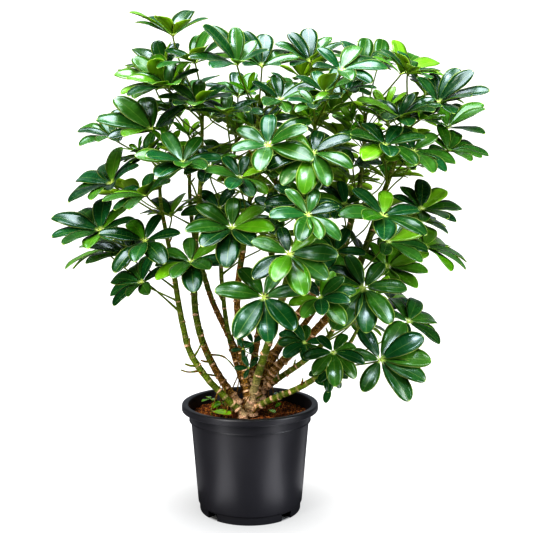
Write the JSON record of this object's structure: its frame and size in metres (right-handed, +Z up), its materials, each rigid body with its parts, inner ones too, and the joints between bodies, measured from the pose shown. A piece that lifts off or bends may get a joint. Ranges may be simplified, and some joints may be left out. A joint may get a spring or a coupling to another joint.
{
  "type": "potted umbrella plant",
  "caption": "Bushy umbrella plant with whorls of glossy leaflets on branching woody stems, in a round black nursery pot.",
  "frame": {"origin": "middle of the pot's underside, on the floor it stands on", "axes": "+Z up along the pot's axis; -Y towards the plant's front; +X to the right seen from the front"},
  "size_m": [0.7443, 0.6574, 0.881],
  "materials": {
    "pot_plastic": "satin",
    "potting_mix": "matt",
    "bark": "matt",
    "leaf": "gloss",
    "young_leaf": "satin"
  },
  "bodies": {
    "root": {"pot": "pot_plastic", "potting_mix": "potting_mix", "trunk_left_outer": "bark", "trunk_left_inner": "bark", "trunk_slender": "bark", "trunk_front": "bark", "trunk_right_inner": "bark", "trunk_back_middle": "bark", "shoot_left_outer": "leaf", "shoot_left_inner": "leaf", "shoot_slender": "leaf", "shoot_middle": "leaf", "shoot_front": "leaf", "shoot_low_right": "leaf", "shoot_mid_right": "leaf", "shoot_right_outer": "leaf", "shoot_right_inner": "leaf", "shoot_back_left": "leaf", "shoot_back_middle": "leaf", "shoot_back_right": "leaf", "seedling_left": "young_leaf", "seedling_right": "young_leaf"}
  },
  "joints": []
}
